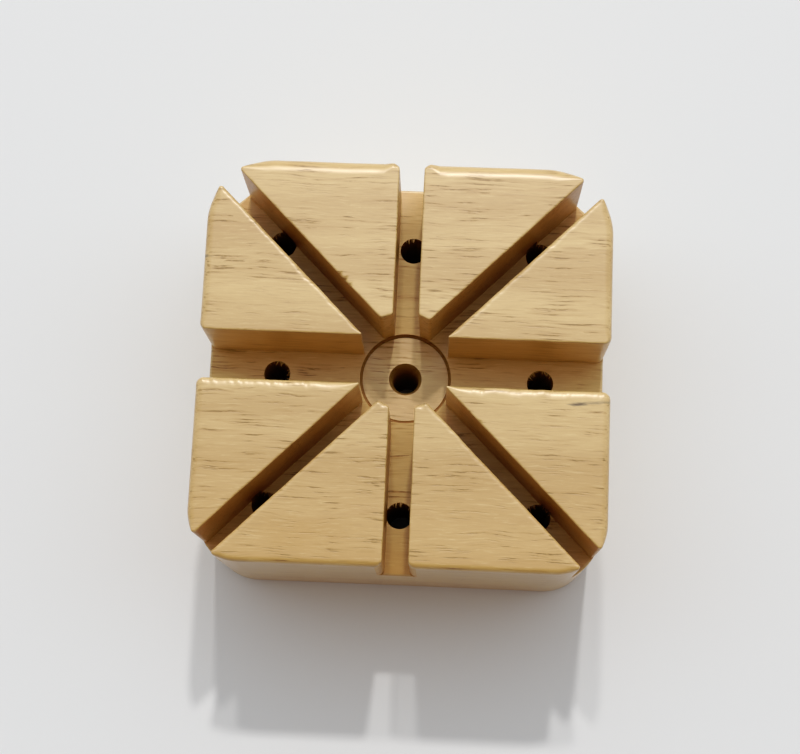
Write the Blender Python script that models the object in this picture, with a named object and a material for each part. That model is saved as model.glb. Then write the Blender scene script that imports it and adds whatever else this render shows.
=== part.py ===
"""Bracelet holding block: one solid piece of hardwood for pushing the pins out of watch bracelets.

Eight grooves meet in a round recess at the middle, and nine through holes take the pins that fall out.
The block stands on its base with its centre on the world's Z axis. The grain runs along X.
"""

import math

import bmesh
import bpy
from mathutils import Matrix

MM = 0.001

# the block
WIDTH = 60 * MM
DEPTH = 60 * MM
HEIGHT = 32 * MM
BACK_CORNER_RADIUS = 10 * MM
FRONT_CORNER_RADIUS = 7.5 * MM
TOP_ROUND = 1.0 * MM
BASE_ROUND = 1.2 * MM

# the grooves, all cut down to one floor
GROOVE_DEPTH = 13.5 * MM
WIDE_GROOVE = 7.1 * MM
NARROW_GROOVE = 3.7 * MM
DIAGONAL_GROOVE = 3.6 * MM
GROOVES = (
    ("wide_groove", WIDE_GROOVE, 0),
    ("narrow_groove", NARROW_GROOVE, 90),
    ("rising_diagonal_groove", DIAGONAL_GROOVE, 45),
    ("falling_diagonal_groove", DIAGONAL_GROOVE, -45),
)

# the round recess where they meet, a little deeper than the grooves
RECESS_DIAMETER = 13.9 * MM
RECESS_DEPTH = GROOVE_DEPTH + 0.3 * MM

# the pin holes, three rows of three, each where the hand-held drill really went, in mm
HOLE_DIAMETER = 4.0 * MM
HOLE_CENTRES = (
    (-19.8, 20.5),
    (0.4, 20.2),
    (19.8, 20.0),
    (-19.6, 0.0),
    (0.0, 0.0),
    (20.5, 0.0),
    (-20.3, -20.2),
    (0.0, -21.0),
    (20.6, -20.5),
)
COUNTERSINK_DIAMETER = 5.0 * MM
COUNTERSINK_DEPTH = 1.4 * MM

# how finely the round shapes are divided
CORNER_STEPS = 12
ROUND_STEPS = 3
RECESS_SIDES = 64
HOLE_SIDES = 32

OVERCUT = 2 * MM  # how far a cutter runs past the face that it opens
LEVEL_TOLERANCE = 0.0001 * MM

FLOOR_Z = HEIGHT - GROOVE_DEPTH
RECESS_Z = HEIGHT - RECESS_DEPTH

WOOD_COLOUR = (0.60, 0.44, 0.24, 1.0)
WOOD_ROUGHNESS = 0.42


def clear_scene():
    for obj in list(bpy.data.objects):
        bpy.data.objects.remove(obj, do_unlink=True)


def wood():
    """Pale hardwood under a thin satin varnish."""
    material = bpy.data.materials.new("rubberwood")
    material.use_nodes = True
    shader = material.node_tree.nodes["Principled BSDF"]
    shader.inputs["Base Color"].default_value = WOOD_COLOUR
    shader.inputs["Roughness"].default_value = WOOD_ROUGHNESS
    shader.inputs["Metallic"].default_value = 0.0
    material.diffuse_color = WOOD_COLOUR
    return material


def add_object(name, bm):
    mesh = bpy.data.meshes.new(name)
    bm.to_mesh(mesh)
    bm.free()
    obj = bpy.data.objects.new(name, mesh)
    bpy.context.scene.collection.objects.link(obj)
    return obj


def corner_edges(bm, side):
    """The plain blank's two upright edges at the back, where side is 1, or at the front, where it is -1."""

    def is_there(edge):
        start, end = (v.co for v in edge.verts)
        upright = abs(end.z - start.z) > max(abs(end.x - start.x), abs(end.y - start.y))
        return upright and start.y * side > 0

    return [edge for edge in bm.edges if is_there(edge)]


def edges_at(bm, z):
    """The outline edges that lie in the level plane at z."""
    return [edge for edge in bm.edges if all(abs(v.co.z - z) < LEVEL_TOLERANCE for v in edge.verts)]


def round_off(bm, edges, radius, steps):
    bmesh.ops.bevel(bm, geom=edges, offset=radius, segments=steps, profile=0.5, affect="EDGES")


def blank():
    """The sawn blank with its corners and edges rounded, before any groove is cut."""
    bm = bmesh.new()
    place = Matrix.Translation((0, 0, HEIGHT / 2)) @ Matrix.Diagonal((WIDTH, DEPTH, HEIGHT, 1))
    bmesh.ops.create_cube(bm, size=1, matrix=place)
    round_off(bm, corner_edges(bm, 1), BACK_CORNER_RADIUS, CORNER_STEPS)
    round_off(bm, corner_edges(bm, -1), FRONT_CORNER_RADIUS, CORNER_STEPS)
    round_off(bm, edges_at(bm, HEIGHT), TOP_ROUND, ROUND_STEPS)
    round_off(bm, edges_at(bm, 0.0), BASE_ROUND, ROUND_STEPS)
    return add_object("block", bm)


def groove_cutter(name, width, degrees):
    """A bar laid right across the block, turned to the groove's direction."""
    length = math.hypot(WIDTH, DEPTH) + 2 * OVERCUT
    tall = GROOVE_DEPTH + OVERCUT
    bm = bmesh.new()
    bmesh.ops.create_cube(bm, size=1, matrix=Matrix.Diagonal((length, width, tall, 1)))
    cutter = add_object(name + "_cutter", bm)
    cutter.location = (0, 0, FLOOR_Z + tall / 2)
    cutter.rotation_euler = (0, 0, math.radians(degrees))
    return cutter


def add_round(bm, centre, low, high, low_radius, high_radius, sides):
    """A closed upright cylinder or cone between two heights."""
    place = Matrix.Translation((centre[0], centre[1], (low + high) / 2))
    bmesh.ops.create_cone(
        bm,
        cap_ends=True,
        segments=sides,
        radius1=low_radius,
        radius2=high_radius,
        depth=high - low,
        matrix=place,
    )


def recess_cutter():
    bm = bmesh.new()
    radius = RECESS_DIAMETER / 2
    add_round(bm, (0, 0), RECESS_Z, HEIGHT + OVERCUT, radius, radius, RECESS_SIDES)
    return add_object("recess_cutter", bm)


def hole_cutter():
    """Nine drills in one mesh."""
    bm = bmesh.new()
    radius = HOLE_DIAMETER / 2
    for x, y in HOLE_CENTRES:
        add_round(bm, (x * MM, y * MM), -OVERCUT, FLOOR_Z + OVERCUT, radius, radius, HOLE_SIDES)
    return add_object("hole_cutter", bm)


def countersink_cutter():
    """The cone at the mouth of the middle hole, continued upwards past the recess floor."""
    bm = bmesh.new()
    flare = (COUNTERSINK_DIAMETER - HOLE_DIAMETER) / 2 / COUNTERSINK_DEPTH
    low = RECESS_Z - COUNTERSINK_DEPTH
    high = RECESS_Z + OVERCUT
    low_radius = HOLE_DIAMETER / 2
    add_round(bm, (0, 0), low, high, low_radius, low_radius + flare * (high - low), HOLE_SIDES)
    return add_object("countersink_cutter", bm)


def cut(block, cutter):
    """Takes a cutter out of the block, and keeps the cutter itself out of the part."""
    cutter.hide_render = True
    cutter.display_type = "WIRE"
    step = block.modifiers.new(cutter.name, "BOOLEAN")
    step.operation = "DIFFERENCE"
    step.solver = "EXACT"
    step.object = cutter


def build():
    clear_scene()
    block = blank()
    block.data.materials.append(wood())
    for name, width, degrees in GROOVES:
        cut(block, groove_cutter(name, width, degrees))
    for cutter in (recess_cutter(), hole_cutter(), countersink_cutter()):
        cut(block, cutter)


build()
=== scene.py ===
import math

import bmesh
import bpy
import numpy as np
from mathutils import Euler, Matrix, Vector, noise


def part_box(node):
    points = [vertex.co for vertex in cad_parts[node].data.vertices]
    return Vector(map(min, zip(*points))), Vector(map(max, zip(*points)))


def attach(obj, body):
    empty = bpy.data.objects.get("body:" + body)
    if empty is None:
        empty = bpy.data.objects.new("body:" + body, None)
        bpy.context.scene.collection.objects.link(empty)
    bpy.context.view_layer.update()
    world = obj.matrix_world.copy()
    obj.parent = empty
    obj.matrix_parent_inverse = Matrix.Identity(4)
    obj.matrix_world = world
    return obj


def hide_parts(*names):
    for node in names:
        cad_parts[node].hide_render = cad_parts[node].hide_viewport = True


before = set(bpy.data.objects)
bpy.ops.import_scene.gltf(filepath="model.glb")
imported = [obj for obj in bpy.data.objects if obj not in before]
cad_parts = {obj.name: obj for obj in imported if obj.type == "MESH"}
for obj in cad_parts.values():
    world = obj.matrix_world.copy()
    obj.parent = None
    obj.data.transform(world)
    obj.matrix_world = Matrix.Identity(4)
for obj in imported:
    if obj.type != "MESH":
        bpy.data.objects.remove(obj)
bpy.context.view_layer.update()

MM = 0.001
scene = bpy.context.scene


# --------------------------------------------------------------------------------------------------
# The timber. One piece of rubberwood with its grain along X: straw-coloured, with short brown vessel strokes,
# broad warmer bands, a faint honey-brown stain and two dark mineral streaks. The pattern is solid, so it runs
# through from the top into the channel walls. The outside has a thin satin varnish, and the cuts are duller.


def tree_tools(tree):
    """Two short helpers for one node tree: one makes a node, the other joins two sockets."""

    def node(kind, **settings):
        made = tree.nodes.new(kind)
        for name, value in settings.items():
            setattr(made, name, value)
        return made

    return node, tree.links.new


def wood_pattern():
    """The solid wood pattern as one node group: its colour, pores and fibre, and where the thin saw ran, as a
    mask for the painted shade in the diagonal cuts.
    """
    straw = (0.520, 0.335, 0.118, 1)
    pale_straw = (0.625, 0.440, 0.180, 1)
    golden_straw = (0.500, 0.285, 0.075, 1)
    warm_brown = (0.470, 0.265, 0.085, 1)
    dark_fibre = (0.430, 0.260, 0.095, 1)
    light_fibre = (0.760, 0.600, 0.290, 1)
    vessel_margin = (0.430, 0.245, 0.060, 1)
    vessel_brown = (0.270, 0.135, 0.024, 1)
    grain_wander = 1.6 * MM

    group = bpy.data.node_groups.new("rubberwood_pattern", "ShaderNodeTree")
    for name, kind in (("Colour", "Color"), ("Pores", "Float"), ("Fibre", "Float"), ("Narrow Cut Shade", "Float")):
        group.interface.new_socket(name=name, in_out="OUTPUT", socket_type="NodeSocket" + kind)
    node, link = tree_tools(group)
    out = node("NodeGroupOutput")

    def maths(operation, first, second=None):
        made = node("ShaderNodeMath", operation=operation)
        for socket, value in zip(made.inputs, (first, second)):
            if value is None:
                continue
            if isinstance(value, (int, float)):
                socket.default_value = value
            else:
                link(value, socket)
        return made.outputs[0]

    def stretched(source, per_mm, shift=(0, 0, 0)):
        """Coordinates scaled so that a noise of scale 1 has the given number of cells per millimetre."""
        made = node("ShaderNodeMapping")
        made.inputs["Scale"].default_value = [value / MM for value in per_mm]
        made.inputs["Location"].default_value = shift
        link(source, made.inputs["Vector"])
        return made.outputs[0]

    def cloud(vector, detail=2.0, rough=0.5):
        made = node("ShaderNodeTexNoise")
        made.inputs["Scale"].default_value = 1.0
        made.inputs["Detail"].default_value = detail
        made.inputs["Roughness"].default_value = rough
        link(vector, made.inputs["Vector"])
        return made.outputs["Fac"]

    def ramp(value, low, high, low_out=0.0, high_out=1.0):
        made = node("ShaderNodeMapRange", interpolation_type="SMOOTHSTEP")
        made.inputs["From Min"].default_value = low
        made.inputs["From Max"].default_value = high
        made.inputs["To Min"].default_value = low_out
        made.inputs["To Max"].default_value = high_out
        link(value, made.inputs["Value"])
        return made.outputs["Result"]

    def tint(base, colour, amount):
        made = node("ShaderNodeMix", data_type="RGBA", blend_type="MIX")
        link(amount, made.inputs["Factor"])
        if isinstance(base, tuple):
            made.inputs["A"].default_value = base
        else:
            link(base, made.inputs["A"])
        made.inputs["B"].default_value = colour
        return made.outputs["Result"]

    # the grain wanders a little from side to side along its length
    place = node("ShaderNodeTexCoord").outputs["Object"]
    wander = node("ShaderNodeTexNoise")
    wander.inputs["Scale"].default_value = 1.0
    wander.inputs["Detail"].default_value = 4.0
    link(stretched(place, (0.09, 0.22, 0.22)), wander.inputs["Vector"])
    centred = node("ShaderNodeVectorMath", operation="SUBTRACT")
    link(wander.outputs["Color"], centred.inputs[0])
    centred.inputs[1].default_value = (0.5, 0.5, 0.5)
    offset = node("ShaderNodeVectorMath", operation="MULTIPLY")
    link(centred.outputs[0], offset.inputs[0])
    offset.inputs[1].default_value = (0.0, grain_wander, grain_wander)
    moved = node("ShaderNodeVectorMath", operation="ADD")
    link(place, moved.inputs[0])
    link(offset.outputs[0], moved.inputs[1])
    grain = moved.outputs[0]

    # ground colour: straw, with wide warm and pale bands, and more golden towards the front of the board
    bands = cloud(stretched(grain, (0.012, 0.16, 0.16)), detail=3.0, rough=0.55)
    colour = tint(straw, pale_straw, ramp(bands, 0.32, 0.68))
    across = node("ShaderNodeSeparateXYZ")
    link(grain, across.inputs[0])
    golden = ramp(across.outputs["Y"], -4 * MM, -34 * MM, 0.0, 0.62)
    colour = tint(colour, golden_straw, golden)
    warm = cloud(stretched(grain, (0.05, 0.45, 0.45), shift=(3.1, 7.7, 1.9)), detail=4.0, rough=0.6)
    colour = tint(colour, warm_brown, ramp(warm, 0.56, 0.80, 0.0, 0.55))

    # fine fibre all over
    fibre = cloud(stretched(grain, (0.22, 5.0, 5.0)), detail=3.0, rough=0.65)
    colour = tint(colour, dark_fibre, ramp(fibre, 0.50, 0.78, 0.0, 0.48))
    colour = tint(colour, light_fibre, ramp(fibre, 0.48, 0.26, 0.0, 0.40))

    # vessels: long thin tubes, each a short brown stroke where a surface cuts it, with a paler brown margin.
    # The two kinds have their own cells per millimetre.
    vessel_kinds = (((0.080, 2.1, 2.1), (0, 0, 0)), ((0.16, 2.9, 2.9), (5.3, 2.9, 8.1)))
    vessel_reach = 0.33
    strokes = None
    margins = None
    for per_mm, shift in vessel_kinds:
        cells = node("ShaderNodeTexVoronoi", feature="F1", voronoi_dimensions="3D")
        cells.inputs["Scale"].default_value = 1.0
        link(stretched(grain, per_mm, shift=shift), cells.inputs["Vector"])
        split = node("ShaderNodeSeparateColor")
        link(cells.outputs["Color"], split.inputs[0])
        chosen = ramp(split.outputs[0], 0.30, 0.75)
        distance = cells.outputs["Distance"]
        stroke = maths("MULTIPLY", ramp(distance, vessel_reach, vessel_reach * 0.30), chosen)
        margin = maths("MULTIPLY", ramp(distance, vessel_reach * 1.9, vessel_reach * 0.5), chosen)
        strokes = stroke if strokes is None else maths("MAXIMUM", strokes, stroke)
        margins = margin if margins is None else maths("MAXIMUM", margins, margin)
    crowd = ramp(cloud(stretched(grain, (0.06, 0.35, 0.35), shift=(1.3, 4.4, 9.2))), 0.36, 0.60, 0.25, 1.0)
    gaps = cloud(stretched(grain, (1.1, 4.0, 4.0), shift=(8.2, 0.7, 3.3)), detail=3.0)
    broken = ramp(gaps, 0.36, 0.56, 0.25, 1.0)
    strokes = maths("MULTIPLY", maths("MULTIPLY", strokes, crowd), broken)
    margins = maths("MULTIPLY", margins, crowd)
    colour = tint(colour, vessel_margin, maths("MULTIPLY", margins, 0.70))
    colour = tint(colour, vessel_brown, maths("MULTIPLY", strokes, 0.85))

    # a honey stain near the front, a dark mineral streak that pales towards the right, and a short one at the
    # left, each with its centre and its reach in mm, its depth and its colour
    stains = (
        ((-14.0, -25.5, 31.0), (10.0, 3.6, 6.0), 0.25, (0.47, 0.255, 0.050, 1)),
        ((25.4, -5.5, 31.0), (2.1, 0.50, 2.5), 0.92, (0.075, 0.034, 0.006, 1)),
        ((28.2, -5.3, 31.0), (3.8, 0.45, 2.5), 0.60, (0.110, 0.060, 0.022, 1)),
        ((-29.6, 14.6, 31.5), (1.6, 0.40, 1.5), 0.60, (0.075, 0.045, 0.022, 1)),
    )
    for centre, reach, depth, stain in stains:
        near = node("ShaderNodeMapping", vector_type="TEXTURE")
        near.inputs["Location"].default_value = [value * MM for value in centre]
        near.inputs["Scale"].default_value = [value * MM for value in reach]
        link(grain, near.inputs["Vector"])
        length = node("ShaderNodeVectorMath", operation="LENGTH")
        link(near.outputs[0], length.inputs[0])
        fray = maths("MULTIPLY", cloud(stretched(grain, (0.5, 4, 4))), 0.9)
        ragged = maths("ADD", length.outputs["Value"], fray)
        colour = tint(colour, stain, ramp(ragged, 1.35, 0.75, 0.0, depth))

    # where the two diagonal cuts run, outside the recess: a mask for a darker, browner stain there, which is
    # painted shade for those narrow grooves
    spot = node("ShaderNodeSeparateXYZ")
    link(place, spot.inputs[0])
    x_reach = maths("ABSOLUTE", spot.outputs["X"])
    y_reach = maths("ABSOLUTE", spot.outputs["Y"])
    off_line = maths("ABSOLUTE", maths("SUBTRACT", x_reach, y_reach))
    outside_recess = ramp(maths("MINIMUM", x_reach, y_reach), 4.2 * MM, 6.5 * MM)
    link(maths("MULTIPLY", ramp(off_line, 3.6 * MM, 2.9 * MM), outside_recess), out.inputs["Narrow Cut Shade"])

    link(colour, out.inputs["Colour"])
    link(strokes, out.inputs["Pores"])
    link(fibre, out.inputs["Fibre"])
    return group


def timber(name, roughness, specular, coat, coat_roughness, pore_depth, fibre_depth, stain, diagonal_shade=None):
    """One finish of the timber. Its stain multiplies the colour; the second stain, for the diagonal cuts, is
    darker and paints the shade of those narrow grooves.
    """
    material = bpy.data.materials.new(name)
    material.use_nodes = True
    tree = material.node_tree
    node, link = tree_tools(tree)
    shader = tree.nodes["Principled BSDF"]
    pattern = node("ShaderNodeGroup", node_tree=WOOD_PATTERN)
    stained = node("ShaderNodeMix", data_type="RGBA", blend_type="MULTIPLY")
    stained.inputs["Factor"].default_value = 1.0
    link(pattern.outputs["Colour"], stained.inputs["A"])
    stained.inputs["B"].default_value = (*stain, 1)
    if diagonal_shade:
        diagonal_shade_mix = node("ShaderNodeMix", data_type="RGBA")
        link(pattern.outputs["Narrow Cut Shade"], diagonal_shade_mix.inputs["Factor"])
        diagonal_shade_mix.inputs["A"].default_value = (*stain, 1)
        diagonal_shade_mix.inputs["B"].default_value = (*diagonal_shade, 1)
        link(diagonal_shade_mix.outputs["Result"], stained.inputs["B"])
    link(stained.outputs["Result"], shader.inputs["Base Color"])
    shader.inputs["Roughness"].default_value = roughness
    shader.inputs["Coat Weight"].default_value = coat
    shader.inputs["Coat Roughness"].default_value = coat_roughness
    shader.inputs["Specular IOR Level"].default_value = specular
    bump = node("ShaderNodeBump", invert=True)
    bump.inputs["Strength"].default_value = 0.9
    bump.inputs["Distance"].default_value = pore_depth
    link(pattern.outputs["Pores"], bump.inputs["Height"])
    rough = node("ShaderNodeBump")
    rough.inputs["Strength"].default_value = 0.4
    rough.inputs["Distance"].default_value = fibre_depth
    link(pattern.outputs["Fibre"], rough.inputs["Height"])
    link(bump.outputs["Normal"], rough.inputs["Normal"])
    link(rough.outputs["Normal"], shader.inputs["Normal"])
    return material


WOOD_PATTERN = wood_pattern()
varnished = timber(
    "varnished_rubberwood",
    roughness=0.45,
    specular=0.5,
    coat=1.0,
    coat_roughness=0.33,
    pore_depth=0.07 * MM,
    fibre_depth=0.02 * MM,
    stain=(1.0, 1.0, 1.0),
)
sawn = timber(
    "sawn_rubberwood",
    roughness=0.60,
    specular=0.2,
    coat=0.6,
    coat_roughness=0.30,
    pore_depth=0.08 * MM,
    fibre_depth=0.03 * MM,
    stain=(1.08, 1.03, 0.98),
    # darker in the diagonal cuts: painted shade for those narrow grooves
    diagonal_shade=(0.96, 0.81, 0.70),
)
burnished = timber(
    "burnished_rubberwood",
    roughness=0.50,
    specular=0.4,
    coat=0.9,
    coat_roughness=0.26,
    pore_depth=0.06 * MM,
    fibre_depth=0.02 * MM,
    stain=(1.06, 1.02, 0.98),
)
drilled = timber(
    "drilled_rubberwood",
    roughness=0.65,
    specular=0.2,
    coat=0.4,
    coat_roughness=0.30,
    pore_depth=0.08 * MM,
    fibre_depth=0.05 * MM,
    stain=(0.62, 0.52, 0.42),
)
# the scored ring's finish: its darker stain paints the shade inside that fine groove
scored_shade = timber(
    "scored_shade_rubberwood",
    roughness=0.65,
    specular=0.2,
    coat=0.4,
    coat_roughness=0.35,
    pore_depth=0.08 * MM,
    fibre_depth=0.05 * MM,
    stain=(0.62, 0.46, 0.30),
)


# --------------------------------------------------------------------------------------------------
# The block: one planed blank with rounded corners, sawn from edge to edge by four channels that leave eight
# wedges standing on one floor. Every outside edge was then eased with sandpaper, and the arrises just broken.

_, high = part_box("block")
half = high.x
top = high.z
channel_floor = top - 13.5 * MM
wide_channel = 7.1 * MM
narrow_channel = 3.7 * MM
diagonal_channel = 3.6 * MM
nose_radius = 7.0 * MM  # the inner ends, just clear of the recess
corner_radii = (10 * MM, 10 * MM, 7.5 * MM, 7.5 * MM)  # back right, back left, front left, front right

# the eased edges: those facing back are sanded more, and further in than down
top_round = 1.45 * MM
side_ease = 0.76
back_ease = 0.24
base_round = 1.2 * MM
arris_round = 0.22 * MM
sanded_more = 0.30 * MM
arris_spread = 1.3
round_spread = 0.35
mouth_round = 1.1 * MM
diagonal_mouth_round = 0.5 * mouth_round
nose_round = 0.4 * MM
sill_round = 0.35 * MM
sill_rise = 0.28

# tear-outs along the arrises: where, and how deep, in mm
chip_spread = 0.3 * MM
chips = (
    ((-9.9, 12.45), 0.60),
    ((-9.15, 11.7), 0.78),
    ((-8.35, 10.9), 0.52),
    ((-14.6, 12.1), 0.2),
    ((11.3, -8.75), 0.3),
)

# how finely the shape is divided
saw_step = 0.25 * MM
side_step = 1.2 * MM
corner_steps = 9
nose_steps = 4
bend_steps = 7
round_steps = 5
land = 0.3 * MM  # a narrow flat beside each round
cap_land = 0.2 * MM
slant = Vector((1, 1)).normalized()


def along(start, end, step):
    """Places from start up to end, evenly spaced, both ends included."""
    count = max(1, round((end - start).length / step))
    return [start.lerp(end, index / count) for index in range(count + 1)]


def bend(start, way_in, end, way_out):
    """The places between two points on a curve that leaves along one direction and arrives along another."""
    turn = way_in.angle(way_out)
    radius = (end - start).length / (2 * math.sin(turn / 2))
    handle = 4 / 3 * math.tan(turn / 4) * radius
    a = start + way_in * handle
    b = end - way_out * handle
    places = []
    for index in range(1, bend_steps):
        t = index / bend_steps
        u = 1 - t
        places.append(start * u**3 + a * (3 * u * u * t) + b * (3 * u * t * t) + end * t**3)
    return places


def on_circle(centre, radius, angle):
    return centre + Vector((math.cos(angle), math.sin(angle))) * radius


def clockwise(vector):
    return Vector((vector.y, -vector.x))


def wedge_plan(straight_channel, corner_radius):
    """One wedge between a straight channel along X and the diagonal, anticlockwise, as (place, share).

    The share is 0 on a channel's wall, 1 on the outside, and in between round a mouth.
    """
    s = straight_channel / 2
    d = diagonal_channel / 2
    right = Vector((1, 0))
    up = Vector((0, 1))
    middle = Vector((0, 0))
    centre = Vector((half - corner_radius, half - corner_radius))
    plan = []

    # the inner end: a nose cut by the recess, or a bare tip where the two saw cuts meet outside it
    angle_s = math.asin(s / nose_radius)
    angle_d = math.pi / 4 - math.asin(d / nose_radius)
    has_nose = angle_s < angle_d
    if has_nose:
        tip_s = on_circle(middle, nose_radius, angle_s)
        tip_d = on_circle(middle, nose_radius, angle_d)
    else:
        tip_s = tip_d = Vector((s + d * math.sqrt(2), s))

    # out along the straight channel, round its mouth and up the side
    mouth = Vector((half, s))
    wall = along(tip_s + right * nose_round, mouth - right * mouth_round, saw_step)
    plan += [(place, 0.0) for place in wall]
    side = along(mouth + up * mouth_round, Vector((half, centre.y)), side_step)
    curve = bend(wall[-1], right, side[0], up)
    plan += [(place, (index + 1) / bend_steps) for index, place in enumerate(curve)]
    plan += [(place, 1.0) for place in side]

    # round the corner as far as the diagonal's mouth, and in along the diagonal
    last = math.pi / 4 - math.asin(d / corner_radius)
    stop = last - diagonal_mouth_round / corner_radius
    angles = [stop * (index + 1) / corner_steps for index in range(corner_steps)]
    plan += [(on_circle(centre, corner_radius, angle), 1.0) for angle in angles]
    corner = on_circle(centre, corner_radius, last)
    back = along(corner - slant * diagonal_mouth_round, tip_d + slant * nose_round, saw_step)
    tangent = -clockwise(Vector((math.cos(stop), math.sin(stop))))
    curve = bend(plan[-1][0], tangent, back[0], -slant)
    plan += [(place, 1 - (index + 1) / bend_steps) for index, place in enumerate(curve)]
    plan += [(place, 0.0) for place in back]

    # round the inner end
    if has_nose:
        margin = nose_round / nose_radius
        sweep = angle_s - angle_d + 2 * margin
        angles = [angle_d - margin + sweep * index / nose_steps for index in range(nose_steps + 1)]
        nose = [on_circle(middle, nose_radius, angle) for angle in angles]
        inner_end = bend(back[-1], -slant, nose[0], clockwise(nose[0]).normalized())
        inner_end += nose + bend(nose[-1], clockwise(nose[-1]).normalized(), wall[0], right)
    else:
        inner_end = bend(back[-1], -slant, wall[0], right)
    return plan + [(place, 0.0) for place in inner_end]


def turned(place, quarter):
    for _ in range(quarter):
        place = Vector((-place.y, place.x))
    return place


noise.seed_set(5)  # noise_vector takes its offsets from this seed, and from the clock without one


def wandering(place):
    """Where a saw that wanders by a few hundredths of a millimetre really cuts."""
    shift = noise.noise_vector(Vector((place.x, place.y, 0.004)) * 260)
    return place + Vector((shift.x, shift.y)) * 0.05 * MM


wedges = []
for quarter in range(4):
    start, end = (wide_channel, narrow_channel) if quarter % 2 == 0 else (narrow_channel, wide_channel)
    plain = wedge_plan(start, corner_radii[quarter])
    beyond_diagonal = reversed(wedge_plan(end, corner_radii[quarter]))
    mirrored = [(Vector((place.y, place.x)), share) for place, share in beyond_diagonal]
    for plan in (plain, mirrored):
        plan = [(turned(place, quarter), share) for place, share in plan]
        wedges.append([(wandering(place) if share == 0 else place, share) for place, share in plan])


def inward(places):
    """For each place on a closed anticlockwise outline, the step that moves both its sides in by one."""
    steps = []
    for index, place in enumerate(places):
        before = place - places[index - 1]
        after = places[(index + 1) % len(places)] - place
        n = -clockwise(before).normalized()
        m = -clockwise(after).normalized()
        steps.append((n + m) / (1 + n.dot(m)))
    return steps


def eased(place, share, step):
    """How far down and in the top edge is taken off here, chips included. Edges facing back lost more."""
    here = Vector((place.x, place.y, 0))
    facing = -step.normalized().y  # 1 where the edge faces back, -1 where it faces the front
    back = max(0.0, facing) ** 2
    wear = 1 + 0.40 * noise.noise(here * 500) + 0.30 * noise.noise(here * 1700)
    outer_wear = 1 + 0.12 * noise.noise(here * 160)
    ease = share * share * (3 - 2 * share)
    arris = (arris_round + sanded_more * back) * wear
    outer = top_round * (side_ease + back_ease * facing) * outer_wear
    drop = arris * (1 - ease) + outer * ease
    for (x, y), size in chips:
        gap = (place - Vector((x, y)) * MM).length / chip_spread
        drop += size * MM * math.exp(-gap * gap)
    spread = 1 + back * (arris_spread * (1 - ease) + round_spread * ease)
    return drop, drop * spread


def room_inside(places, steps):
    """The radius of the largest circle inside the outline that touches it at each place."""
    p = np.array(places)
    n = np.array([step.normalized() for step in steps])
    gaps = p[None, :, :] - p[:, None, :]
    ahead = np.maximum((gaps * n[:, None, :]).sum(axis=2), 1e-9)
    return ((gaps**2).sum(axis=2) / (2 * ahead) + 1e3 * np.eye(len(p))).min(axis=1)


bm = bmesh.new()


def ring(places, steps, insets, heights):
    return [
        bm.verts.new((*(place + step * inset), z))
        for place, step, inset, z in zip(places, steps, insets, heights)
    ]


def skin(lower, upper, finishes):
    """Quads between two rings of the same length; places that share a vertex give triangles."""
    for index, finish in enumerate(finishes):
        after = (index + 1) % len(lower)
        corners = []
        for vertex in (lower[index], lower[after], upper[after], upper[index]):
            if vertex not in corners:
                corners.append(vertex)
        if len(corners) > 2:
            bm.faces.new(corners).material_index = finish


OUTSIDE, SAWN = 0, 1
ALL_OUTSIDE = 1.95  # two neighbours whose shares add up to this are both outside
quarter_turn = [math.pi / 2 * index / round_steps for index in range(round_steps + 1)]
outline = []
for plan in wedges:
    places = [place for place, _ in plan]
    shares = [share for _, share in plan]
    steps = inward(places)
    room = room_inside(places, steps)
    edges = [eased(place, share, step) for (place, share), step in zip(plan, steps)]
    drops = [min(drop, 0.8 * space) for (drop, _), space in zip(edges, room)]
    reaches = [min(reach, 0.8 * space) for (_, reach), space in zip(edges, room)]
    lands = [min(cap_land, 0.6 * (space - reach)) for reach, space in zip(reaches, room)]
    foot = ring(places, steps, [0] * len(plan), [channel_floor] * len(plan))
    rings = [foot, ring(places, steps, [0] * len(plan), [top - drop - land for drop in drops])]
    for angle in quarter_turn:
        insets = [reach * (1 - math.cos(angle)) for reach in reaches]
        heights = [top - drop * (1 - math.sin(angle)) for drop in drops]
        rings.append(ring(places, steps, insets, heights))
    cap_insets = [reach + flat for reach, flat in zip(reaches, lands)]
    rings.append(ring(places, steps, cap_insets, [top] * len(plan)))
    pairs = zip(shares, shares[1:] + shares[:1])
    walls = [SAWN if share + next_share < ALL_OUTSIDE else OUTSIDE for share, next_share in pairs]
    for level, (lower, upper) in enumerate(zip(rings, rings[1:])):
        skin(lower, upper, walls if level < 2 else [OUTSIDE] * len(plan))
    bm.faces.new(rings[-1])

    # turn each foot so that it starts where the outside does
    first = next(i for i in range(len(plan)) if shares[i] == 1 and shares[i - 1] < 1)
    order = [(first + i) % len(plan) for i in range(len(plan))]
    outline.append([(foot[i], places[i], shares[i]) for i in order])


def sill_places(start, end, centre, corner_radius):
    """Places along the outside between two wedges, closer together near the ends, with their eased radius."""
    length = (end - start).length
    near = [gap * MM for gap in (0.3, 0.5, 0.7, 0.9, 1.1, 1.5)]
    gaps = near + [length / 2] + [length - gap for gap in reversed(near)]
    found = []
    for gap in gaps:
        place = start.lerp(end, gap / length)
        if centre is not None:
            place = centre + (place - centre).normalized() * corner_radius
        closest = min(gap, length - gap)
        wear = 1 + 0.3 * noise.noise(Vector((place.x, place.y, 0)) * 600)
        found.append((place, min(sill_round, sill_rise * closest * closest / mouth_round) * wear))
    return found


# the outside all round at floor level: wedges' feet, and the eased sills of the channels between them
around = []
for number, wedge in enumerate(outline):
    outside = [(vertex, place) for vertex, place, share in wedge if share == 1]
    for vertex, place in outside:
        around.append((place, [vertex] * (round_steps + 1), 0.0))
    following = outline[(number + 1) % len(outline)]
    start = outside[-1][1]
    end = following[0][1]
    corner_radius = corner_radii[number // 2]
    centre = None
    if number % 2 == 0:
        reach = half - corner_radius
        centre = Vector((math.copysign(reach, start.x), math.copysign(reach, start.y)))
    for place, radius in sill_places(start, end, centre, corner_radius):
        around.append((place, None, radius))

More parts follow.
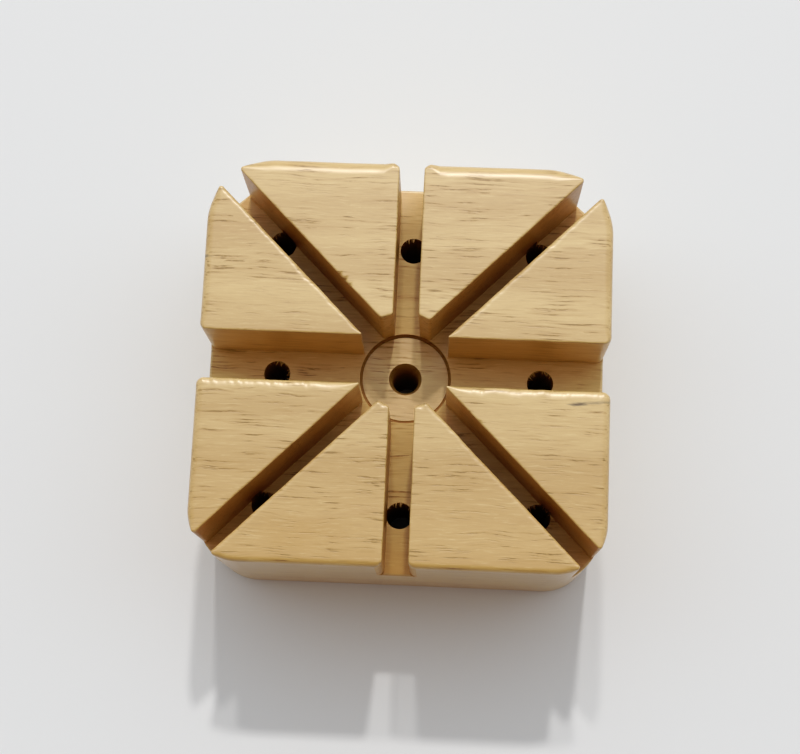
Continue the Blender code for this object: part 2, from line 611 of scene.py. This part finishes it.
places = [place for place, _, _ in around]
steps = inward(places)
columns = []
for (place, column, radius), step in zip(around, steps):
    if column is None:
        column = []
        for angle in quarter_turn:
            inset = place + step * radius * (1 - math.cos(angle))
            column.append(bm.verts.new((inset.x, inset.y, channel_floor - radius + radius * math.sin(angle))))
    columns.append(column)

# the sides, from the base's rounded edge up to the floor of the channels
levels = [(base_round + land, 0.0)]
levels += [(base_round * (1 - math.sin(angle)), base_round * (1 - math.cos(angle))) for angle in quarter_turn]
levels += [(0.0, base_round + land)]
count = len(places)
base = [ring(places, steps, [inset] * count, [height] * count) for inset, height in levels]
base += [[column[level] for column in columns] for level in range(round_steps + 1)]
for lower, upper in zip(base, base[1:]):
    skin(lower, upper, [OUTSIDE] * count)
bm.faces.new(list(reversed(base[0])))

# the channel floors, one star-shaped face
star = []
position = 0
for wedge in outline:
    outside = [vertex for vertex, _, share in wedge if share == 1]
    inside = [vertex for vertex, _, share in wedge if share < 1]
    star += [outside[0], *reversed(inside), outside[-1]]
    position += len(outside)
    while position < len(around) and around[position][1] is None:
        star.append(columns[position][-1])
        position += 1
bm.faces.new(star).material_index = SAWN
block_mesh = bpy.data.meshes.new("sawn_block")
bm.to_mesh(block_mesh)
bm.free()
sawn_block = bpy.data.objects.new("sawn_block", block_mesh)
scene.collection.objects.link(sawn_block)
block_mesh.materials.append(varnished)
block_mesh.materials.append(sawn)


# --------------------------------------------------------------------------------------------------
# The drilling: a shallow round recess, bored with a bit that leaned back, whose spur scored a ring round the
# rim, its darker finish painted shade in that fine groove; eight pin holes right through; and a countersunk
# one in the middle.

recess_radius = 13.9 / 2 * MM
recess_depth = 0.30 * MM
score_width = 0.42 * MM
score_bite = 0.12 * MM
hole_radius = 2.0 * MM
countersink_radius = 2.5 * MM
countersink_depth = 1.4 * MM
overcut = 2 * MM
recess_sides = 128
countersink_sides = 64
hole_sides = 48
crease = math.radians(32)  # edges sharper than this aren't shaded smooth
BY_DRILL, BY_BIT, BY_SPUR = 1, 2, 3
# the eight outer holes, each where the hand-held drill really went, in mm
HOLE_CENTRES = (
    (-19.8, 20.5),
    (0.4, 20.2),
    (19.8, 20.0),
    (-19.6, 0.0),
    (20.5, 0.0),
    (-20.3, -20.2),
    (0.0, -21.0),
    (20.6, -20.5),
)


def set_aside(name, mesh):
    made = bpy.data.objects.new(name, mesh)
    scene.collection.objects.link(made)
    return made


def turned_cutter(name, profile, sides, marks):
    """A closed turned shape: rings of (radius, height) from the bottom up, flat at both ends.

    The marks say which tool leaves each of its faces: the bottom, then one for each step up, then the top.
    """
    angles = [2 * math.pi * index / sides for index in range(sides)]
    points = [(r * math.cos(a), r * math.sin(a), z) for r, z in profile for a in angles]
    faces = [list(reversed(range(sides)))]
    for level in range(len(profile) - 1):
        for index in range(sides):
            after = (index + 1) % sides
            row = level * sides
            faces.append([row + index, row + after, row + sides + after, row + sides + index])
    faces.append(list(range(len(points) - sides, len(points))))
    mesh = bpy.data.meshes.new(name)
    mesh.from_pydata(points, [], faces)
    cut_by = mesh.attributes.new("cut_by", "INT", "FACE")
    levels = [marks[0]] + [mark for mark in marks[1:-1] for _ in range(sides)] + [marks[-1]]
    cut_by.data.foreach_set("value", levels)
    return set_aside(name, mesh)


# the score is a small groove round the recess; above the channel floor the bit tapers clear of the noses
bit_straight = 0.4 * MM
bit_taper = 0.6 * MM
recess_bit = turned_cutter(
    "recess_bit",
    (
        (recess_radius - score_width, -recess_depth),
        (recess_radius - 0.6 * score_width, -recess_depth - score_bite),
        (recess_radius - 0.4 * score_width, -recess_depth - score_bite),
        (recess_radius, -recess_depth + 0.5 * score_bite),
        (recess_radius, bit_straight),
        (recess_radius - bit_taper, overcut),
    ),
    recess_sides,
    (BY_BIT, BY_SPUR, BY_SPUR, BY_SPUR, BY_SPUR, BY_BIT, BY_BIT),
)
flare = (countersink_radius - hole_radius) / countersink_depth
middle_drill = turned_cutter(
    "middle_drill",
    (
        (hole_radius, -overcut),
        (hole_radius, channel_floor - recess_depth - countersink_depth),
        (countersink_radius + flare * overcut, channel_floor - recess_depth + overcut),
    ),
    countersink_sides,
    (BY_DRILL, BY_DRILL, BY_DRILL, BY_DRILL),
)
pin_drill = turned_cutter(
    "pin_drill",
    ((hole_radius, -overcut), (hole_radius, channel_floor + overcut)),
    hole_sides,
    (BY_DRILL, BY_DRILL, BY_DRILL),
)
marks_mesh = bpy.data.meshes.new("punched_marks")
marks_mesh.from_pydata([(x * MM, y * MM, 0) for x, y in HOLE_CENTRES], [], [])
punched_marks = set_aside("punched_marks", marks_mesh)


def new_tree(name, incoming, values, links, result):
    """A geometry tree with named inputs: its own geometry, numbers with their values, and other sockets."""
    tree = bpy.data.node_groups.new(name, "GeometryNodeTree")
    face = tree.interface
    face.new_socket(name=incoming, in_out="INPUT", socket_type="NodeSocketGeometry")
    for label, value in values:
        face.new_socket(name=label, in_out="INPUT", socket_type="NodeSocketFloat").default_value = value
    for label, kind in links:
        face.new_socket(name=label, in_out="INPUT", socket_type="NodeSocket" + kind)
    face.new_socket(name=result, in_out="OUTPUT", socket_type="NodeSocketGeometry")
    return tree


def boring_tree():
    tree = new_tree(
        "drill_and_bore",
        "Sawn Block",
        (
            ("Channel Floor", channel_floor),
            ("Bit Lean Back", math.radians(2.5)),
            ("Bit Lean Aside", math.radians(0.7)),
        ),
        (
            ("Recess Bit", "Object"),
            ("Middle Drill", "Object"),
            ("Pin Drill", "Object"),
            ("Punched Marks", "Object"),
            ("Drilled Surface", "Material"),
            ("Bored Surface", "Material"),
            ("Scored Surface", "Material"),
        ),
        "Block",
    )
    node, link = tree_tools(tree)
    given = node("NodeGroupInput").outputs

    def shape_of(name):
        made = node("GeometryNodeObjectInfo")
        link(given[name], made.inputs["Object"])
        return made.outputs["Geometry"]

    def vector(**parts):
        made = node("ShaderNodeCombineXYZ")
        for axis, value in parts.items():
            link(value, made.inputs[axis])
        return made.outputs[0]

    # the recess bit, leaning back and a little to the right
    bit = node("GeometryNodeTransform")
    link(shape_of("Recess Bit"), bit.inputs["Geometry"])
    link(vector(Z=given["Channel Floor"]), bit.inputs["Translation"])
    backwards = node("ShaderNodeMath", operation="MULTIPLY")
    link(given["Bit Lean Back"], backwards.inputs[0])
    backwards.inputs[1].default_value = -1.0
    link(vector(X=backwards.outputs[0], Y=given["Bit Lean Aside"]), bit.inputs["Rotation"])

    # one drill on each punched mark
    drilled = node("GeometryNodeInstanceOnPoints")
    link(shape_of("Punched Marks"), drilled.inputs["Points"])
    link(shape_of("Pin Drill"), drilled.inputs["Instance"])
    drills = node("GeometryNodeRealizeInstances")
    link(drilled.outputs[0], drills.inputs[0])

    cut = node("GeometryNodeMeshBoolean", operation="DIFFERENCE", solver="EXACT")
    link(given["Sawn Block"], cut.inputs["Mesh 1"])
    for cutter in (bit.outputs[0], shape_of("Middle Drill"), drills.outputs[0]):
        link(cutter, cut.inputs["Mesh 2"])
    whole = node("GeometryNodeRealizeInstances")
    link(cut.outputs["Mesh"], whole.inputs[0])
    finished = whole.outputs[0]

    # each kind of cut face has its own finish; Compare's sockets 2 and 3 are its whole numbers
    cut_by = node("GeometryNodeInputNamedAttribute", data_type="INT")
    cut_by.inputs["Name"].default_value = "cut_by"
    surfaces = ((BY_DRILL, "Drilled Surface"), (BY_BIT, "Bored Surface"), (BY_SPUR, "Scored Surface"))
    for number, name in surfaces:
        same = node("FunctionNodeCompare", data_type="INT", operation="EQUAL")
        link(cut_by.outputs["Attribute"], same.inputs[2])
        same.inputs[3].default_value = number
        faced = node("GeometryNodeSetMaterial")
        link(finished, faced.inputs["Geometry"])
        link(same.outputs[0], faced.inputs["Selection"])
        link(given[name], faced.inputs["Material"])
        finished = faced.outputs[0]
    link(finished, node("NodeGroupOutput").inputs[0])
    return tree


def worked(obj, tree, given):
    """Puts a geometry tree on an object, with its object and material inputs set by their identifiers."""
    step = obj.modifiers.new(tree.name, "NODES")
    step.node_group = tree
    for item in tree.interface.items_tree:
        if item.name in given:
            step[item.identifier] = given[item.name]


def baked(obj, name):
    """The object as its modifiers leave it, as a plain mesh of its own."""
    graph = bpy.context.evaluated_depsgraph_get()
    mesh = bpy.data.meshes.new_from_object(obj.evaluated_get(graph))
    mesh.name = name
    bpy.data.objects.remove(obj, do_unlink=True)
    return set_aside(name, mesh)


worked(
    sawn_block,
    boring_tree(),
    {
        "Recess Bit": recess_bit,
        "Middle Drill": middle_drill,
        "Pin Drill": pin_drill,
        "Punched Marks": punched_marks,
        "Drilled Surface": drilled,
        "Bored Surface": burnished,
        "Scored Surface": scored_shade,
    },
)
block = baked(sawn_block, "bracelet_block")
for cutter in (recess_bit, middle_drill, pin_drill):
    bpy.data.objects.remove(cutter, do_unlink=True)
for polygon in block.data.polygons:
    polygon.use_smooth = True
block.data.set_sharp_from_angle(angle=crease)
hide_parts("block")
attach(block, "root")


# --------------------------------------------------------------------------------------------------
# The drilling fuzz: fibres that the drill tore loose and left hanging round the mouths of the outer holes,
# most of them at the back. Each is a thin bent splinter, still rooted in the wall of the hole.


def fuzz_tree():
    splinter_sides = 6
    splinter_segments = 5
    places_round_rim = 44
    tree = new_tree(
        "torn_fibres",
        "Punched Marks",
        (
            ("Hole Radius", hole_radius),
            ("Root Depth", 0.12 * MM),
            ("Fibre Length", 0.78 * MM),
            ("Fibre Radius", 0.075 * MM),
            ("Fibre Curl", 0.35 * MM),
            ("Channel Floor", channel_floor),
        ),
        (("Fibre", "Material"),),
        "Fuzz",
    )
    node, link = tree_tools(tree)
    given = node("NodeGroupInput").outputs

    def fill(socket, value):
        if isinstance(value, (int, float)):
            socket.default_value = value
        else:
            link(value, socket)

    def maths(operation, first, second):
        made = node("ShaderNodeMath", operation=operation)
        fill(made.inputs[0], first)
        fill(made.inputs[1], second)
        return made.outputs[0]

    def vector(x, y, z):
        made = node("ShaderNodeCombineXYZ")
        for socket, value in zip(made.inputs, (x, y, z)):
            fill(socket, value)
        return made.outputs[0]

    def chance(low, high, seed, kind="FLOAT"):
        """A random number or vector. The node takes a vector's limits first, and then a number's."""
        made = node("FunctionNodeRandomValue", data_type=kind)
        first = {"FLOAT_VECTOR": 0, "FLOAT": 2}[kind]
        made.inputs[first].default_value = low
        made.inputs[first + 1].default_value = high
        made.inputs["Seed"].default_value = seed
        return made.outputs[first // 2]

    # one splinter: a thin cone, bent over along its length
    cone = node("GeometryNodeMeshCone", fill_type="NGON")
    cone.inputs["Vertices"].default_value = splinter_sides
    cone.inputs["Side Segments"].default_value = splinter_segments
    link(given["Fibre Radius"], cone.inputs["Radius Bottom"])
    link(maths("MULTIPLY", given["Fibre Radius"], 0.2), cone.inputs["Radius Top"])
    link(given["Fibre Length"], cone.inputs["Depth"])
    spot = node("ShaderNodeSeparateXYZ")
    link(node("GeometryNodeInputPosition").outputs[0], spot.inputs[0])
    share = maths("DIVIDE", spot.outputs["Z"], given["Fibre Length"])
    bent = node("GeometryNodeSetPosition")
    link(cone.outputs["Mesh"], bent.inputs["Geometry"])
    curl = maths("MULTIPLY", maths("MULTIPLY", share, share), given["Fibre Curl"])
    link(vector(curl, 0.0, 0.0), bent.inputs["Offset"])

    # the roots: places round one hole, nearly all of them on its back half
    rim = node("GeometryNodeMeshCircle")
    rim.inputs["Vertices"].default_value = places_round_rim
    link(given["Hole Radius"], rim.inputs["Radius"])
    beside = node("ShaderNodeSeparateXYZ")
    link(node("GeometryNodeInputPosition").outputs[0], beside.inputs[0])
    backness = maths("DIVIDE", beside.outputs["Y"], given["Hole Radius"])
    likely = maths("ADD", maths("MULTIPLY", backness, 0.40), 0.10)
    bare = maths("GREATER_THAN", chance(0.0, 1.0, 4), likely)
    roots = node("GeometryNodeDeleteGeometry", domain="POINT")
    link(rim.outputs["Mesh"], roots.inputs["Geometry"])
    link(bare, roots.inputs["Selection"])

    # every splinter leans in over the hole, each its own way
    to_left = maths("MULTIPLY", beside.outputs["X"], -1.0)
    to_front = maths("MULTIPLY", beside.outputs["Y"], -1.0)
    inwards = node("ShaderNodeVectorMath", operation="NORMALIZE")
    link(vector(to_left, to_front, 0.0), inwards.inputs[0])
    leaning = node("ShaderNodeVectorMath", operation="ADD")
    link(inwards.outputs[0], leaning.inputs[0])
    link(chance((-0.9, -0.5, -0.5), (0.9, 0.5, 0.6), 9, "FLOAT_VECTOR"), leaning.inputs[1])
    turn = node("FunctionNodeAlignRotationToVector", axis="Z")
    link(leaning.outputs[0], turn.inputs["Vector"])
    standing = node("GeometryNodeInstanceOnPoints")
    link(roots.outputs[0], standing.inputs["Points"])
    link(bent.outputs[0], standing.inputs["Instance"])
    link(turn.outputs[0], standing.inputs["Rotation"])
    link(chance(0.45, 1.15, 2), standing.inputs["Scale"])
    tuft = node("GeometryNodeRealizeInstances")
    link(standing.outputs[0], tuft.inputs[0])

    # the same round each punched mark, turned a little from hole to hole
    holes = node("GeometryNodeInstanceOnPoints")
    link(given["Punched Marks"], holes.inputs["Points"])
    link(tuft.outputs[0], holes.inputs["Instance"])
    link(vector(0.0, 0.0, chance(-0.6, 0.6, 7)), holes.inputs["Rotation"])
    raised = node("GeometryNodeTranslateInstances")
    link(holes.outputs[0], raised.inputs["Instances"])
    root_height = maths("SUBTRACT", given["Channel Floor"], given["Root Depth"])
    link(vector(0.0, 0.0, root_height), raised.inputs["Translation"])
    loose = node("GeometryNodeRealizeInstances")
    link(raised.outputs[0], loose.inputs[0])
    faced = node("GeometryNodeSetMaterial")
    link(loose.outputs[0], faced.inputs["Geometry"])
    link(given["Fibre"], faced.inputs["Material"])
    link(faced.outputs[0], node("NodeGroupOutput").inputs[0])
    return tree


worked(punched_marks, fuzz_tree(), {"Fibre": sawn})
fuzz = baked(punched_marks, "drilling_fuzz")
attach(fuzz, "root")


# --------------------------------------------------------------------------------------------------
# The bench: a plain pale matt sheet that the block stands on. It isn't part of the object.

bench_reach = 1.5
bench_corners = [(x * bench_reach, y * bench_reach, 0) for x, y in ((-1, -1), (1, -1), (1, 1), (-1, 1))]
bench_mesh = bpy.data.meshes.new("bench_sheet")
bench_mesh.from_pydata(bench_corners, [], [(0, 1, 2, 3)])
bench = bpy.data.objects.new("bench_sheet", bench_mesh)
scene.collection.objects.link(bench)
paper = bpy.data.materials.new("pale_paper")
paper.use_nodes = True
paper_shader = paper.node_tree.nodes["Principled BSDF"]
paper_shader.inputs["Base Color"].default_value = (0.76, 0.765, 0.775, 1)
paper_shader.inputs["Roughness"].default_value = 0.9
paper_shader.inputs["Specular IOR Level"].default_value = 0.2
bench.data.materials.append(paper)


# --------------------------------------------------------------------------------------------------
# Light: a pale room with a wide soft band of light overhead, towards the back, a dimmer and warmer front, and
# two small lamps side by side, high behind the block. A gentle toe in the view deepens the darkest shadows.

world = bpy.data.worlds.new("pale_room")
world.use_nodes = True
world_node, world_link = tree_tools(world.node_tree)
background = world.node_tree.nodes["Background"]


def slope_ramp(slope, low, high, low_out, high_out):
    made = world_node("ShaderNodeMapRange", interpolation_type="SMOOTHSTEP")
    made.inputs["From Min"].default_value = low
    made.inputs["From Max"].default_value = high
    made.inputs["To Min"].default_value = low_out
    made.inputs["To Max"].default_value = high_out
    world_link(slope, made.inputs["Value"])
    return made.outputs["Result"]


# the band lies by slope, how far back a direction goes for its height; below the horizon counts as just above
outlook = world_node("ShaderNodeSeparateXYZ")
world_link(world_node("ShaderNodeTexCoord").outputs["Generated"], outlook.inputs[0])
lifted = world_node("ShaderNodeMath", operation="MAXIMUM")
world_link(outlook.outputs["Z"], lifted.inputs[0])
lifted.inputs[1].default_value = 0.05
slope = world_node("ShaderNodeMath", operation="DIVIDE")
world_link(outlook.outputs["Y"], slope.inputs[0])
world_link(lifted.outputs[0], slope.inputs[1])
band = world_node("ShaderNodeMath", operation="MULTIPLY")
world_link(slope_ramp(slope.outputs[0], -0.30, 0.22, 0.0, 1.0), band.inputs[0])
world_link(slope_ramp(slope.outputs[0], 0.42, 1.30, 1.0, 0.55), band.inputs[1])
room = world_node("ShaderNodeMix", data_type="RGBA")
world_link(band.outputs[0], room.inputs["Factor"])
room.inputs["A"].default_value = (0.33, 0.265, 0.220, 1)
room.inputs["B"].default_value = (1.03, 1.13, 1.20, 1)
world_link(room.outputs["Result"], background.inputs["Color"])
background.inputs["Strength"].default_value = 1.0
scene.world = world

lamp_distance = 2.5
lamp_size = 0.11
lamp_elevation = math.radians(53.5)
for name, side, watts in (("right_lamp", math.radians(5.5), 18.0), ("left_lamp", math.radians(-4.5), 10.0)):
    light = bpy.data.lights.new(name, "AREA")
    light.shape = "DISK"
    light.size = lamp_size
    light.energy = watts
    light.color = (1.0, 0.985, 0.955)
    lamp = bpy.data.objects.new(name, light)
    towards_lamp = Vector(
        (
            math.sin(side) * math.cos(lamp_elevation),
            math.cos(side) * math.cos(lamp_elevation),
            math.sin(lamp_elevation),
        )
    )
    lamp.location = towards_lamp * lamp_distance
    lamp.rotation_euler = towards_lamp.to_track_quat("Z", "Y").to_euler()
    scene.collection.objects.link(lamp)

scene.view_settings.view_transform = "Standard"
scene.view_settings.use_curve_mapping = True
tone = scene.view_settings.curve_mapping
toe = tone.curves[3]
for dark, darker in ((0.0134, 0.005), (0.0365, 0.022), (0.117, 0.095), (0.214, 0.206), (0.4, 0.4)):
    toe.points.new(dark, darker)
tone.update()


# --------------------------------------------------------------------------------------------------
# Camera: held above the block and a little in front of it, looking down.

eye = bpy.data.cameras.new("camera")
eye.lens = 75.3
eye.clip_start = 0.01
camera = bpy.data.objects.new("camera", eye)
camera.location = (6.65 * MM, -51.1 * MM, 268.4 * MM)
camera.rotation_mode = "ZYX"
camera.rotation_euler = Euler((math.radians(11.61), math.radians(1.68), math.radians(2.19)), "ZYX")
scene.collection.objects.link(camera)
scene.camera = camera
